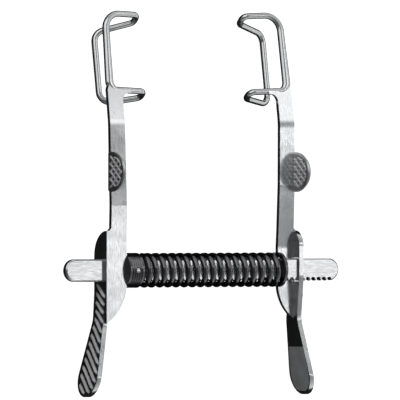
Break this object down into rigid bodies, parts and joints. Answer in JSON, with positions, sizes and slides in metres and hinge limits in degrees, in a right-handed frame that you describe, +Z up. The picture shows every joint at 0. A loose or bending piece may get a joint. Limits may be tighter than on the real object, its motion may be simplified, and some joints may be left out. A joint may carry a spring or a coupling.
{
  "type": "eye speculum",
  "caption": "Self-retaining eye speculum: two wire lid blades on arms with finger pads and thumb levers, sliding on a toothed bar against a coil spring.",
  "frame": {"origin": "middle of the footprint, at the height of the table that the instrument lies on", "axes": "+X along the guide bar towards the sliding arm, +Y from the thumb levers towards the lid blades, +Z up from the table, towards the front of the instrument"},
  "size_m": [0.063, 0.077, 0.0156],
  "materials": {
    "sheet_steel": "satin stainless",
    "wire_steel": "polished stainless",
    "bar_steel": "satin stainless",
    "spring_steel": "drawn spring wire"
  },
  "bodies": {
    "fixed_arm": {"left_arm": "sheet_steel", "left_blade": "wire_steel", "left_finger_pad": "sheet_steel", "guide_bar": "bar_steel", "spring_collar": "bar_steel", "collar_pin": "bar_steel", "spring": "spring_steel"},
    "slider": {"spring_seat": "bar_steel"},
    "sliding_arm": {"right_arm": "sheet_steel", "right_blade": "wire_steel", "right_finger_pad": "sheet_steel"}
  },
  "joints": [
    {"name": "arm_slide", "type": "slide", "parent": "fixed_arm", "child": "slider", "axis": [1, 0, 0], "range_m": [-0.011, 0], "stiffness_N_per_m": 900, "deforming": ["spring"]},
    {"name": "arm_rock", "type": "hinge", "parent": "slider", "child": "sliding_arm", "pos_m": [0.02235, -0.01345, 0.00729], "axis": [0, -0.0562, 0.9984], "range_deg": [-2.5, 2.5]}
  ]
}
